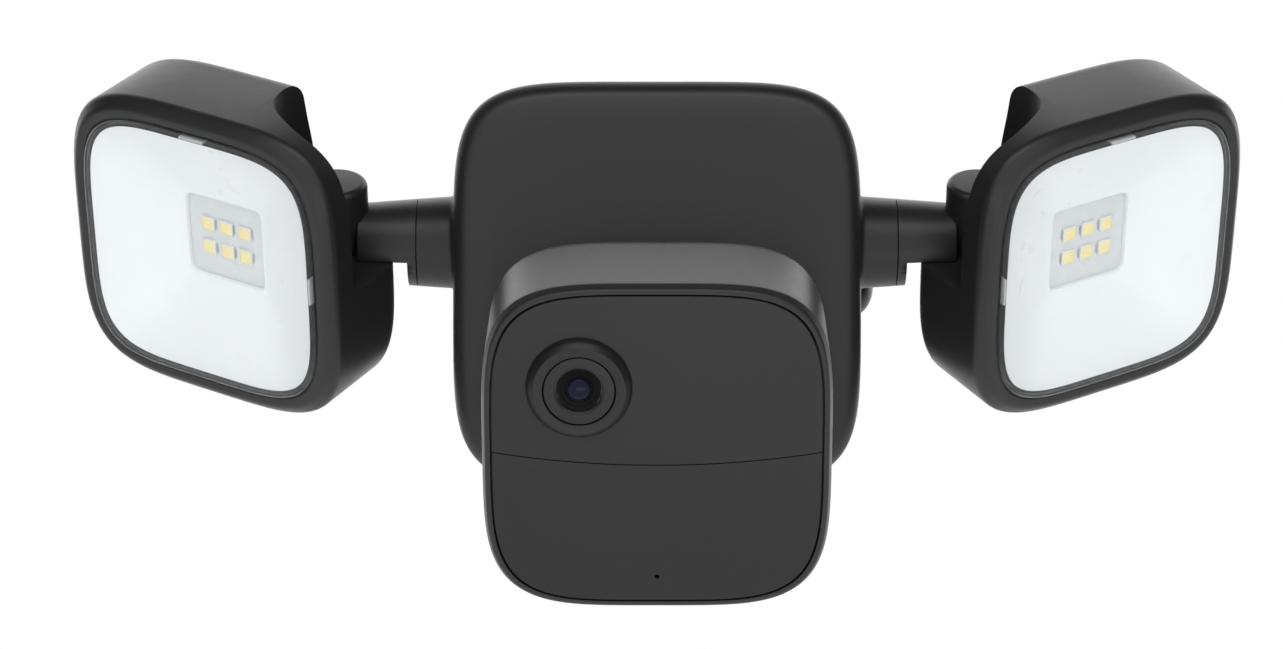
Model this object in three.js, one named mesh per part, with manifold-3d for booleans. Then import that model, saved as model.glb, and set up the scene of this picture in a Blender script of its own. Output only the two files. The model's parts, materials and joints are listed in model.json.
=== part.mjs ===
// Floodlight security camera: a square battery housing on a wall bracket, a lamp on a jointed arm at
// each side, and a square camera unit on a ball joint in front.
// Millimetres. Origin: centre of the bracket's flat back face. +Y is into the wall, +Z is up,
// and the camera looks along -Y. Every named mesh is one separate solid piece.

import * as THREE from "three";
import { mergeVertices } from "three/addons/utils/BufferGeometryUtils.js";
import Module from "manifold-3d";

const wasm = await Module();
wasm.setup();

// ---------------------------------------------------------------- driving dimensions

const GAP = 0.3; // between pieces that touch in the real object
const OUTLINE_POINTS = 32; // points round every rounded-square outline

const HOUSING = {
  half: 43.7, // half of the square's width and height
  front: -85, // flat front face
  rear: -6.8, // open rear edge
  wall: 2.6,
  roundness: 5.2, // exponent of the rounded-square outline
};
const BRACKET = { half: 41.4, depth: 6.2, recess: 3, screwSpacing: 48, screwHole: 2.4 };
const DOOR = { half: 40.8, thickness: 2.4, gasket: 1.3, gasketInner: 39.3 };
const DOOR_SCREW = { head: 2.6, shaft: 1.1, length: 14, seat: 2.9, sunk: 1.3, hole: 1.6 };
const BOSS = { x: 30, z: 34.8, radius: 2.8, hole: 1.45, depth: 18 };

const D_CELL = { radius: 16.6, halfLength: 30.75, pitch: 33.8, firstRow: -26.8 };
const AA_CELL = { radius: 7.25, halfLength: 25.2 };

const ARM = {
  y: -64, // axis of the arm hinge, which runs along X
  z: 9.4,
  tiltDown: 30, // degrees that the arm leans the lamp down at rest
  root: 45.4, // the cone starts here, past the collar's fillet
  rootRadius: 10.15,
  collarEnd: 52.3, // the collar on the housing reaches to here
  step: 54.5, // the lower half of the arm stops here
  end: 65.4, // the upper half stops here
  endRadius: 8.65,
  axle: 6,
  bore: 6.4,
  groove: [48, 50.2], // the seal's groove in the axle
  nut: [36.8, 40.7], // the nut that keeps the axle in the housing
  thread: 4.4,
  threadEnd: 36,
};
const BARREL = { x: 70.2, radius: 7, height: 15.1, bevel: 1.1, bore: 2.55 };
const PIN = { radius: 2.2, below: 12, above: 9 };

// Lamp frame: x towards the camera unit, y back from the lens face, z up, origin mid lens face.
const LAMP = {
  yaw: -30, // degrees about the knuckle that the left lamp turns outwards at rest
  half: 34.8,
  depth: 28, // lens face to the rear edge
  dome: 3.2, // how far the middle of the back stands out
  roundness: 4.2,
  lensRoundness: 4.6,
  wall: 2,
  lens: 29.8, // half of the clear cap's width
  rim: 1.5, // the rim's crest, behind the lens face
  pivotX: 19, // the knuckle's axis
  pivotY: 26.7,
  pivotZ: -2.43, // the half-lap plane
};
const WINDOW = { halfWidth: 10.05, halfHeight: 9.85 };
const BOARD = { face: 12.1, half: 11, thickness: 1.5 };
const LED = { size: 3.2, height: 0.7, pitchX: 4.9, pitchZ: 5.8 };

// Camera frame: x right, y back from the face, z up, origin mid face.
const CAMERA = {
  face: [0, -137, -34], // middle of the front plane
  pitch: 21.5, // degrees that it looks down at rest
  half: 35,
  plateHalf: 33,
  depth: 34.3, // face to the flat back
  rearRounding: 10, // radius of the edge round the back
  roundness: 4.25,
  lensX: -15.4,
  lensZ: 13.8,
  boss: 38.7, // face to the end of the boss that holds the stem
  ball: 54, // face to the ball's centre
};
const BALL = { radius: 9, liner: 9.35, linerOuter: 10.5, socket: 10.85, lip: 62, stem: 3.5 };
const COVER_SCREW = { z: -15.5, head: 2.6, seat: 2.9, shaft: 1, hole: 1.3 };
const MICROPHONE = { z: -27.6, radius: 0.5 };
const BUTTON = { y: -46, radius: 6.7, hole: 7, proud: 5, flange: 8.2, guideDepth: 9.8, stem: 2.1 };
const CONTACT = { halfWidth: 25, front: -76, rear: -11.6, thickness: 0.8 }; // spans the four D cells

const RIGHT = HOUSING.half; // x of the housing's side wall

// The collar and the arm are one cone, from the housing to the knuckle.
const armTaper = (ARM.rootRadius - ARM.endRadius) / (ARM.end - ARM.root);
const armRadius = (x) => ARM.rootRadius - armTaper * (x - ARM.root);

// ---------------------------------------------------------------- materials

const finish = (color, roughness, metalness = 0) =>
  new THREE.MeshStandardMaterial({ color, roughness, metalness });

const shell = finish(0x2a2a2c, 0.55);
const plate = finish(0x303032, 0.5);
const rubber = finish(0x141414, 0.85);
const steel = finish(0x9a9a98, 0.35, 1);
const cellJacket = finish(0x3c4650, 0.4);
const board = finish(0x1f4a34, 0.6);
const whiteBoard = finish(0xe8e6dc, 0.5);
const reflectorWhite = finish(0xf0f0ee, 0.4);
const clear = finish(0xf4f8fa, 0.05);
const darkGlass = finish(0x08080c, 0.05);
const aluminium = finish(0xb0b2b4, 0.4, 1);
const nylon = finish(0xc8c6be, 0.5);

// ---------------------------------------------------------------- solids and booleans

// Turns a closed geometry, or an array of them joined, into a solid that faces outwards.
function solid(geometry) {
  if (!(geometry instanceof THREE.BufferGeometry)) return geometry;
  const bare = geometry.clone();
  bare.deleteAttribute("normal");
  bare.deleteAttribute("uv");
  const merged = mergeVertices(bare, 1e-3);
  const triVerts = new Uint32Array(merged.index.array);
  const vertProperties = merged.attributes.position.array;
  if (signedVolume(vertProperties, triVerts) < 0) {
    for (let i = 0; i < triVerts.length; i += 3) {
      [triVerts[i + 1], triVerts[i + 2]] = [triVerts[i + 2], triVerts[i + 1]];
    }
  }
  return new wasm.Manifold(new wasm.Mesh({ numProp: 3, vertProperties, triVerts }));
}

function signedVolume(points, triangles) {
  const corner = (i) => new THREE.Vector3().fromArray(points, 3 * triangles[i]);
  let volume = 0;
  for (let i = 0; i < triangles.length; i += 3) {
    volume += corner(i).dot(corner(i + 1).cross(corner(i + 2))) / 6;
  }
  return volume;
}

const join = (first, ...others) => others.reduce((sum, o) => sum.add(solid(o)), solid(first));
const cut = (first, ...others) => others.reduce((rest, o) => rest.subtract(solid(o)), solid(first));
const common = (first, second) => solid(first).intersect(solid(second));

function geometryOf(made) {
  const mesh = solid(made).getMesh();
  const geometry = new THREE.BufferGeometry();
  geometry.setAttribute("position", new THREE.BufferAttribute(mesh.vertProperties, 3));
  geometry.setIndex(new THREE.BufferAttribute(mesh.triVerts, 1));
  geometry.computeVertexNormals();
  return geometry;
}

function piece(name, made, material) {
  const mesh = new THREE.Mesh(geometryOf(made), material.clone());
  mesh.name = name;
  return mesh;
}

// ---------------------------------------------------------------- shapes

// A box from its low corner to its high corner.
function block(low, high) {
  const size = high.map((v, i) => v - low[i]);
  const middle = high.map((v, i) => (v + low[i]) / 2);
  return new THREE.BoxGeometry(...size).translate(...middle);
}

// A turned solid: profile of [radius, place along the axis], from one end to the other.
function turned(axis, profile, segments = 20) {
  const points = profile.map(([radius, along]) => new THREE.Vector2(radius, along));
  const made = new THREE.LatheGeometry(points, segments);
  if (axis === "x") made.rotateZ(-Math.PI / 2);
  if (axis === "z") made.rotateX(Math.PI / 2);
  return made;
}

function rod(axis, radius, low, high, segments = 20) {
  return turned(axis, [[0, low], [radius, low], [radius, high], [0, high]], segments);
}

// A ring turned about an axis, with a rectangular section.
function ring(axis, inner, outer, low, high, segments = 24) {
  const profile = [[inner, low], [outer, low], [outer, high], [inner, high], [inner, low]];
  return turned(axis, profile, segments);
}

// A superellipse in the XZ plane at depth y.
function outline(halfWidth, halfHeight, y, roundness) {
  const power = (value) => Math.sign(value) * Math.abs(value) ** (2 / roundness);
  return Array.from({ length: OUTLINE_POINTS }, (_, i) => {
    const turn = (2 * Math.PI * i) / OUTLINE_POINTS;
    return new THREE.Vector3(halfWidth * power(Math.cos(turn)), y, halfHeight * power(Math.sin(turn)));
  });
}

// Square outlines from a profile of [half, y].
const squares = (profile, roundness) => profile.map(([half, y]) => outline(half, half, y, roundness));

// Skins a row of outlines. Ends are capped, unless the row closes on itself.
function loft(rings, closesOnItself = false) {
  const count = rings[0].length;
  const points = rings.flat();
  const faces = [];
  const bands = closesOnItself ? rings.length : rings.length - 1;
  for (let r = 0; r < bands; r += 1) {
    const near = r * count;
    const far = ((r + 1) % rings.length) * count;
    for (let i = 0; i < count; i += 1) {
      const next = (i + 1) % count;
      faces.push(near + i, far + i, far + next, near + i, far + next, near + next);
    }
  }
  if (!closesOnItself) {
    const last = (rings.length - 1) * count;
    for (let i = 1; i < count - 1; i += 1) {
      faces.push(0, i, i + 1, last, last + i + 1, last + i);
    }
  }
  const geometry = new THREE.BufferGeometry().setFromPoints(points);
  geometry.setIndex(faces);
  return geometry;
}

// A prism over an outline of [x, y] points, between two heights.
function prismOnXY(points, low, high) {
  const shape = new THREE.Shape(points.map(([x, y]) => new THREE.Vector2(x, y)));
  const made = new THREE.ExtrudeGeometry(shape, { depth: high - low, bevelEnabled: false });
  return made.translate(0, 0, low);
}

// A prism over an outline of [x, z] points, between two depths.
function prismOnXZ(points, low, high) {
  const shape = new THREE.Shape(points.map(([x, z]) => new THREE.Vector2(x, z)));
  const made = new THREE.ExtrudeGeometry(shape, { depth: high - low, bevelEnabled: false });
  return made.rotateX(Math.PI / 2).translate(0, high, 0);
}

const degrees = THREE.MathUtils.degToRad;

// The five corners of a thin wire's section.
function pentagon(radius) {
  return Array.from({ length: 5 }, (_, i) => {
    const turn = degrees(72 * i);
    return new THREE.Vector2(radius * Math.cos(turn), radius * Math.sin(turn));
  });
}

const corners = [[-1, -1], [1, -1], [1, 1], [-1, 1]];

// ---------------------------------------------------------------- housing and wall bracket

function frontHousing() {
  const { half, front, rear, wall, roundness } = HOUSING;
  const inner = half - wall;
  const shelf = rear - 4.7; // the gasket's seat
  const shellProfile = [
    [half - 5.6, front],
    [half - 2.6, front + 0.7],
    [half - 0.8, front + 2.3],
    [half, front + 5],
    [half, rear - 1],
    [half - 0.5, rear],
    [inner, rear],
    [inner, shelf],
    [inner - 2.2, shelf],
    [inner - 2.2, shelf - 3],
    [inner, shelf - 6],
    [inner, front + 4.5],
    [inner - 2, front + wall],
  ];
  const collarProfile = [
    [0, inner + 0.4],
    [ARM.rootRadius + 1.4, inner + 0.4],
    [ARM.rootRadius + 1.4, half + 0.1],
    [ARM.rootRadius + 0.4, half + 0.7],
    [ARM.rootRadius, ARM.root],
    [armRadius(ARM.collarEnd), ARM.collarEnd],
    [0, ARM.collarEnd],
  ];
  let made = solid(loft(squares(shellProfile, roundness)));
  for (const side of [-1, 1]) {
    const collar = turned("x", collarProfile, 24).scale(side, 1, 1).translate(0, ARM.y, ARM.z);
    const bore = rod("x", ARM.bore, inner - 3, ARM.collarEnd + 3).scale(side, 1, 1);
    made = cut(join(made, collar), bore.translate(0, ARM.y, ARM.z));
  }
  for (const [sx, sz] of corners) {
    const boss = rod("y", BOSS.radius, shelf - BOSS.depth, shelf - 0.01, 12);
    const hole = rod("y", BOSS.hole, shelf - BOSS.depth - 1, shelf + 1, 8);
    made = join(made, boss.translate(sx * BOSS.x, 0, sz * BOSS.z));
    made = cut(made, hole.translate(sx * BOSS.x, 0, sz * BOSS.z));
  }
  const ball = ballCentre();
  const socketHole = rod("y", 13.5, front - 2, front + 5, 24).translate(ball.x, 0, ball.z);
  const buttonHole = rod("x", BUTTON.hole, RIGHT - 5, RIGHT + 3, 20).translate(0, BUTTON.y, 0);
  return cut(join(made, buttonGuide()), socketHole, buttonHole);
}

// The small bridge inside the right wall that guides the release button's stem.
function buttonGuide() {
  const { y, flange, guideDepth } = BUTTON;
  const inside = RIGHT - HOUSING.wall + 0.2;
  const from = RIGHT - guideDepth;
  const low = flange + 0.7;
  const high = low + 1.2;
  const face = block([from, y - 6, -high], [from + 1.2, y + 6, high]);
  const upper = block([from, y - 6, low], [inside, y + 6, high]);
  const lower = block([from, y - 6, -high], [inside, y + 6, -low]);
  const stemHole = rod("x", BUTTON.stem + 0.5, from - 1, from + 3, 12).translate(0, y, 0);
  return cut(join(face, upper, lower), stemHole);
}

function wallBracket() {
  const { half, depth, recess, screwSpacing, screwHole } = BRACKET;
  const profile = [
    [half - 0.6, 0],
    [half, -0.6],
    [half, -depth],
    [half - recess, -depth],
    [half - recess, recess - depth],
  ];
  const dish = loft(squares(profile, HOUSING.roundness));
  const holes = corners.map(([sx, sz]) =>
    rod("y", screwHole, -depth - 1, 1, 12).translate((sx * screwSpacing) / 2, 0, (sz * screwSpacing) / 2),
  );
  return cut(dish, ...holes);
}

const doorBack = HOUSING.rear - 0.4;
const doorFront = doorBack - DOOR.thickness;

function batteryDoor() {
  const profile = [[DOOR.half, doorFront], [DOOR.half, doorBack - 0.6], [DOOR.half - 0.6, doorBack]];
  let made = solid(loft(squares(profile, HOUSING.roundness)));
  for (const [sx, sz] of corners) {
    const seat = rod("y", DOOR_SCREW.seat, doorBack - DOOR_SCREW.sunk, doorBack + 1, 14);
    const hole = rod("y", DOOR_SCREW.hole, doorFront - 1, doorBack + 1, 10);
    made = cut(made, ...[seat, hole].map((tool) => tool.translate(sx * BOSS.x, 0, sz * BOSS.z)));
  }
  return made;
}

function doorGasket() {
  const high = doorFront - GAP;
  const low = high - DOOR.gasket;
  const profile = [[DOOR.half, high], [DOOR.half, low], [DOOR.gasketInner, low], [DOOR.gasketInner, high]];
  return loft(squares(profile, HOUSING.roundness), true);
}

function doorScrew() {
  const { head, shaft, length, sunk } = DOOR_SCREW;
  const seat = doorBack - sunk;
  const profile = [
    [0, seat - length],
    [shaft, seat - length + 0.5],
    [shaft, seat + 0.1],
    [head, seat + 0.1],
    [head, seat + 0.9],
    [head - 0.7, seat + 1.3],
    [0, seat + 1.3],
  ];
  return turned("y", profile, 12);
}

function dCell() {
  const { radius, halfLength } = D_CELL;
  const profile = [
    [0, -halfLength],
    [radius - 0.8, -halfLength],
    [radius, 0.8 - halfLength],
    [radius, halfLength - 2.6],
    [radius - 1, halfLength - 1.6],
    [4.8, halfLength - 1.4],
    [4.6, halfLength],
    [0, halfLength],
  ];
  return turned("z", profile, 16);
}

function aaCell() {
  const { radius, halfLength } = AA_CELL;
  const profile = [
    [0, -halfLength],
    [radius, 0.4 - halfLength],
    [radius, halfLength - 2],
    [2.8, halfLength - 1.3],
    [2.7, halfLength],
    [0, halfLength],
  ];
  return turned("z", profile, 14);
}

function driverBoard() {
  const low = 35.6; // just above the upper contact plate
  const top = low + 1.6;
  const base = block([-23, -70, low], [23, -24, top]);
  const coil = block([-16, -62, top - 0.1], [-6, -52, top + 2.6]);
  const socket = block([8, -66, top - 0.1], [18, -60, top + 2.2]);
  const capacitors = [-34, -44].map((y) => rod("z", 3, top - 0.1, top + 2.8, 10).translate(-12, y, 0));
  return join(base, coil, socket, ...capacitors);
}

function housingPieces() {
  const cellX = D_CELL.pitch / 2;
  const cells = [
    [-cellX, D_CELL.firstRow],
    [cellX, D_CELL.firstRow],
    [-cellX, D_CELL.firstRow - D_CELL.pitch],
    [cellX, D_CELL.firstRow - D_CELL.pitch],
  ].map(([x, y], i) => {
    const cell = piece(`d_cell_${i + 1}`, dCell(), cellJacket);
    cell.position.set(x, y, 0);
    cell.rotation.x = i % 2 ? Math.PI : 0; // neighbours stand opposite ways up
    return cell;
  });
  const screws = corners.map(([sx, sz], i) => {
    const screw = piece(`door_screw_${i + 1}`, doorScrew(), steel);
    screw.position.set(sx * BOSS.x, 0, sz * BOSS.z);
    return screw;
  });
  const { halfWidth, front, rear, thickness } = CONTACT;
  const near = D_CELL.halfLength + 0.5;
  const far = near + thickness;
  return [
    piece("front_housing", frontHousing(), shell),
    piece("wall_bracket", wallBracket(), shell),
    piece("battery_door", batteryDoor(), shell),
    piece("door_gasket", doorGasket(), rubber),
    ...screws,
    ...cells,
    piece("contact_plate_top", block([-halfWidth, front, near], [halfWidth, rear, far]), steel),
    piece("contact_plate_bottom", block([-halfWidth, front, -far], [halfWidth, rear, -near]), steel),
    piece("driver_board", driverBoard(), board),
    ...buttonPieces(),
  ];
}

// ---------------------------------------------------------------- release button

function buttonPieces() {
  const { radius, proud, flange, y, guideDepth, stem } = BUTTON;
  const inside = RIGHT - HOUSING.wall - GAP;
  const end = RIGHT - guideDepth + 0.6;
  const domeSteps = 4;
  const dome = Array.from({ length: domeSteps + 1 }, (_, i) => {
    const turn = degrees((90 * i) / domeSteps);
    return [radius * Math.cos(turn), RIGHT + 0.3 + (proud - 0.3) * Math.sin(turn)];
  });
  const flangeEnd = inside - 1.3;
  const button = turned("x", [
    [0, end],
    [stem, end],
    [stem, flangeEnd],
    [flange, flangeEnd],
    [flange, inside],
    [radius, inside],
    ...dome,
  ]);
  return [
    piece("release_button", button.translate(0, y, 0), shell),
    piece("release_spring", coilSpring(end + 0.95, flangeEnd - 0.4).translate(0, y, 0), steel),
  ];
}

// A compression spring round the X axis between two places.
function coilSpring(from, to) {
  const turns = 3;
  const coilRadius = 3.1;
  const wire = 0.32;
  class Helix extends THREE.Curve {
    getPoint(t) {
      const turn = 2 * Math.PI * turns * t;
      const along = from + wire + (to - from - 2 * wire) * t;
      return new THREE.Vector3(along, coilRadius * Math.cos(turn), coilRadius * Math.sin(turn));
    }
  }
  const section = new THREE.Shape(pentagon(wire));
  const settings = { steps: 8 * turns, extrudePath: new Helix(), bevelEnabled: false };
  return new THREE.ExtrudeGeometry(section, settings);
}

// ---------------------------------------------------------------- arms

// The left arm, in a frame with its origin on the hinge axis below the knuckle. +X is to the housing.
function arm() {
  const fromKnuckle = (x) => BARREL.x - x;
  const root = fromKnuckle(ARM.collarEnd + GAP);
  const end = fromKnuckle(ARM.end);
  const axle = ARM.axle - GAP;
  const [grooveInner, grooveOuter] = ARM.groove.map(fromKnuckle);
  const shoulder = fromKnuckle(ARM.nut[1] + 0.8);
  const profile = [
    [0, end],
    [ARM.endRadius, end],
    [armRadius(ARM.collarEnd + GAP), root],
    [axle, root],
    [axle, grooveOuter],
    [axle - 0.9, grooveOuter],
    [axle - 0.9, grooveInner],
    [axle, grooveInner],
    [axle, shoulder],
    [ARM.thread, shoulder],
    [ARM.thread, fromKnuckle(ARM.threadEnd)],
    [0, fromKnuckle(ARM.threadEnd)],
  ];
  const step = fromKnuckle(ARM.step);
  const halfLap = block([-20, -20, -20], [step, 20, 0]);
  const { radius, height, bevel, bore } = BARREL;
  const upright = [[0, 0], [radius, 0], [radius, height - bevel], [radius - bevel, height], [0, height]];
  const pinBore = rod("z", bore, -1, PIN.above + 0.6, 14);
  return cut(join(cut(turned("x", profile, 24), halfLap), turned("z", upright)), pinBore);
}

function armSeal() {
  const [low, high] = ARM.groove;
  const seal = ring("x", ARM.axle - 0.9, ARM.bore - 0.25, low + GAP, high - GAP, 20);
  return seal.translate(-BARREL.x, 0, 0).scale(-1, 1, 1);
}

function armNut() {
  const hexagon = ring("x", ARM.thread + 1.1, 8.2, ...ARM.nut, 6);
  return hexagon.translate(-BARREL.x, 0, 0).scale(-1, 1, 1);
}

// ---------------------------------------------------------------- lamps, in the lamp frame

// The hollow that the knuckle and arm turn in: it curves round the knuckle, then runs to the inner
// side, and it is open to the back, the inner side and the top. It can grow by a wall's thickness.
function scoop(grow) {
  const { pivotZ } = LAMP;
  const edge = new THREE.SplineCurve(
    [[11, 30], [10.2, 20.6], [13.2, 14], [23.7, 8.7], [36, 9.8]].map(([x, y]) => new THREE.Vector2(x, y)),
  );
  const steps = 12;
  const curve = Array.from({ length: steps + 1 }, (_, i) => {
    const point = edge.getPoint(i / steps);
    const along = edge.getTangent(i / steps);
    return [point.x + grow * along.y, point.y - grow * along.x];
  });
  const [first] = curve;
  const last = curve[steps];
  return prismOnXY([[first[0], 60], ...curve, [60, last[1]], [60, 60]], pivotZ - GAP - grow, 60);
}

function lampHousing() {
  const { half, depth, dome, roundness, lensRoundness, wall, rim, lens } = LAMP;
  const outer = [
    [lens + 0.6, rim + 0.2],
    [half - 2.2, rim],
    [half - 0.7, rim + 0.9],
    [half, rim + 2.9],
    [half, depth - 3.5],
    [half - 1, depth - 1],
    [half - 3.6, depth],
    [half - 13.8, depth + dome * 0.75],
    [half - 23.8, depth + dome],
  ];
  const lip = rim + 2.3;
  const inner = [
    [half - wall, lip],
    [half - wall, depth - 4],
    [half - wall - 2.6, depth - 2],
    [half - wall - 12.8, depth + dome * 0.75 - 2],
    [half - wall - 22.8, depth + dome - 2],
  ];
  const mouth = [[lens + 0.5, rim - 1], [lens + 0.5, lip + 1]];
  const solidShape = solid(loft(squares(outer, roundness)));
  const { pivotX, pivotY, pivotZ } = LAMP;
  const post = rod("z", 4.6, pivotZ - PIN.below, pivotZ, 14).translate(pivotX, pivotY, 0);
  const boss = common(post, solidShape);
  const hollow = cut(loft(squares(inner, roundness)), scoop(1.5), boss);
  const pinHole = rod("z", PIN.radius + GAP, pivotZ - PIN.below - GAP, pivotZ + 1, 14);
  const opening = loft(squares(mouth, lensRoundness));
  return cut(solidShape, hollow, opening, scoop(0), pinHole.translate(pivotX, pivotY, 0));
}

function lampLens() {
  const { lens, lensRoundness } = LAMP;
  const profile = [
    [lens - 0.8, 0],
    [lens, 0.8],
    [lens, 5.05],
    [31.4, 5.05],
    [31.4, 6.1],
    [lens - 1.2, 6.1],
    [lens - 1.2, 1.5],
  ];
  return loft(squares(profile, lensRoundness));
}

function lensGasket() {
  const profile = [[31.4, 4.1], [31.4, 4.75], [30.2, 4.75], [30.2, 4.1]];
  return loft(squares(profile, LAMP.lensRoundness), true);
}

// A smooth bowl from the lens down to a rounded-square window.
function reflector() {
  const bowl = [[28.2, 1.9], [26.6, 3.3], [23.5, 5.3], [18.5, 8], [13.5, 10], [WINDOW.halfWidth, 11]];
  const thickness = 0.8;
  const blend = (i) => LAMP.lensRoundness + (i / (bowl.length - 1)) * 4;
  const tall = (half, i) => half - ((WINDOW.halfWidth - WINDOW.halfHeight) * i) / (bowl.length - 1);
  const front = bowl.map(([half, y], i) => outline(half, tall(half, i), y, blend(i)));
  const back = bowl.map(([half, y], i) => {
    const skin = i ? 0.2 : 0;
    return outline(half + skin, tall(half, i) + skin, y + thickness, blend(i));
  });
  return loft([...front, ...back.reverse()], true);
}

function ledBoard() {
  const { face, half, thickness } = BOARD;
  let made = solid(block([-half, face, -half], [half, face + thickness, half]));
  for (const column of [-1, 0, 1]) {
    for (const row of [-0.5, 0.5]) {
      const x = column * LED.pitchX;
      const z = row * LED.pitchZ;
      const low = [x - LED.size / 2, face - LED.height, z - LED.size / 2];
      const high = [x + LED.size / 2, face + 0.1, z + LED.size / 2];
      made = join(made, block(low, high));
    }
  }
  return made;
}

function heatSink() {
  const face = BOARD.face + BOARD.thickness + GAP;
  const base = block([-20, face, -18], [7.5, face + 2.2, 18]);
  const fins = [-18, -12, -6, 0].map((x) => block([x, face + 2, -18], [x + 1.4, face + 8, 18]));
  return join(base, ...fins);
}

function pivotPin() {
  const low = LAMP.pivotZ - PIN.below;
  const high = LAMP.pivotZ + PIN.above;
  const chamfer = 0.5;
  const profile = [
    [0, low],
    [PIN.radius, low],
    [PIN.radius, high - chamfer],
    [PIN.radius - chamfer, high],
    [0, high],
  ];
  return turned("z", profile, 12).translate(LAMP.pivotX, LAMP.pivotY, 0);
}

// One arm with its lamp. It is built for the left side and mirrored for the right.
function side(prefix, mirror) {
  const lamp = new THREE.Group();
  lamp.add(
    piece(`${prefix}_lamp_housing`, lampHousing(), shell),
    piece(`${prefix}_lamp_lens`, lampLens(), clear),
    piece(`${prefix}_lens_gasket`, lensGasket(), rubber),
    piece(`${prefix}_reflector`, reflector(), reflectorWhite),
    piece(`${prefix}_led_board`, ledBoard(), whiteBoard),
    piece(`${prefix}_heat_sink`, heatSink(), aluminium),
    piece(`${prefix}_pivot_pin`, pivotPin(), steel),
  );
  lamp.position.set(-LAMP.pivotX, -LAMP.pivotY, -LAMP.pivotZ);
  const yaw = new THREE.Group();
  yaw.rotation.z = degrees(LAMP.yaw);
  yaw.add(lamp);
  const tilt = new THREE.Group();
  tilt.rotation.x = degrees(ARM.tiltDown);
  tilt.position.set(-BARREL.x, ARM.y, ARM.z);
  tilt.add(yaw);
  tilt.add(piece(`${prefix}_arm`, arm(), shell));
  tilt.add(piece(`${prefix}_arm_seal`, armSeal(), rubber));
  tilt.add(piece(`${prefix}_arm_nut`, armNut(), steel));
  const whole = new THREE.Group();
  whole.add(tilt);
  whole.scale.x = mirror;
  return whole;
}

// ---------------------------------------------------------------- ball joint

function ballCentre() {
  const pitch = degrees(CAMERA.pitch);
  const back = new THREE.Vector3(0, Math.cos(pitch), Math.sin(pitch));
  return new THREE.Vector3(...CAMERA.face).addScaledVector(back, CAMERA.ball);
}

// Points of a sphere's profile about Y, from one angle to another off the -Y axis.
function spherePoints(radius, from, to, steps) {
  return Array.from({ length: steps + 1 }, (_, i) => {
    const turn = degrees(from + ((to - from) * i) / steps);
    return [radius * Math.sin(turn), -radius * Math.cos(turn)];
  });
}

const backOfWall = HOUSING.front + HOUSING.wall; // inner face of the housing's front wall

function socketCollar() {
  const ball = ballCentre();
  const at = (y) => y - ball.y;
  const lip = spherePoints(BALL.socket, BALL.lip, 90, 3);
  const flange = at(backOfWall + GAP);
  const profile = [
    ...lip,
    [BALL.socket, flange + 1.9],
    [16.5, flange + 1.9],
    [16.5, flange],
    [13.1, flange],
    [13.1, lip[0][1] + 1.2],
    [12, lip[0][1]],
    lip[0],
  ];
  return turned("y", profile, 28);
}

function socketClamp() {
  const ball = ballCentre();
  const low = backOfWall + GAP + 1.9 + GAP - ball.y;
  const profile = [[8.8, low], [16, low], [16, low + 1.9], [6.8, low + 1.9], [8.8, low]];
  return turned("y", profile, 28);
}

function ballLiner() {
  const inside = spherePoints(BALL.liner, BALL.lip, 118, 4);
  const outside = spherePoints(BALL.linerOuter, BALL.lip, 118, 4);
  return turned("y", [...inside, ...outside.reverse(), inside[0]], 24);
}

// The ball and its stem, along the camera frame's Y axis, which points back to the ball.
function ballStem() {
  const centre = CAMERA.ball;
  const meets = Math.asin(BALL.stem / BALL.radius);
  const sphere = Array.from({ length: 9 }, (_, i) => {
    const turn = meets + ((Math.PI - meets) * i) / 8;
    return [BALL.radius * Math.sin(turn), centre - BALL.radius * Math.cos(turn)];
  });
  sphere[sphere.length - 1][0] = 0;
  const profile = [
    [0, CAMERA.depth - 4],
    [BALL.stem, CAMERA.depth - 4],
    [BALL.stem, CAMERA.boss + GAP],
    [6, CAMERA.boss + GAP],
    [6, CAMERA.boss + 1.6],
    [BALL.stem, CAMERA.boss + 2.4],
    ...sphere,
  ];
  return turned("y", profile, 20);
}

// ---------------------------------------------------------------- camera unit, in the camera frame

const cameraSquares = (profile) => squares(profile, CAMERA.roundness);

function cameraFrame() {
  const { half, plateHalf } = CAMERA;
  const profile = [
    [plateHalf + 0.3, 0.4],
    [half - 0.8, 0],
    [half - 0.15, 0.9],
    [half, 2.2],
    [half, 2.9],
    [half - 4, 2.9],
    [half - 4, 2.3],
    [plateHalf + 0.3, 2.3],
  ];
  return loft(cameraSquares(profile), true);
}

function cameraGasket() {
  return loft(cameraSquares([[32.2, 3.2], [32.2, 4.3], [31.2, 4.3], [31.2, 3.2]]), true);
}

function rearCover() {
  const { half, depth, rearRounding } = CAMERA;
  const straight = depth - rearRounding; // the sides curve in from here
  const drafted = half - 0.2;
  const rounded = [30, 60, 90].map((turn) => [
    drafted - rearRounding * (1 - Math.cos(degrees(turn))),
    straight + rearRounding * Math.sin(degrees(turn)),
  ]);
  const profile = [
    ...rounded.reverse(),
    [drafted, straight],
    [half - 0.05, 3.2],
    [32.5, 3.2],
    [32.5, 4.6],
    [31.2, 4.6],
    [31.2, 22],
    [30.4, 26.5],
    [27.4, 30],
    [23, depth - 2],
  ];
  const shellPart = loft(cameraSquares(profile));
  const boss = rod("y", 9.5, depth - 1, CAMERA.boss, 24);
  const socket = rod("y", BALL.stem + 0.4, depth - 5, CAMERA.boss + 1, 20);
  const seat = rod("y", COVER_SCREW.seat, depth - 1, depth + 1, 12).translate(0, 0, COVER_SCREW.z);
  const screwHole = rod("y", COVER_SCREW.hole, depth - 4, depth + 1, 8).translate(0, 0, COVER_SCREW.z);
  return cut(join(shellPart, boss), socket, seat, screwHole);
}

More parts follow.
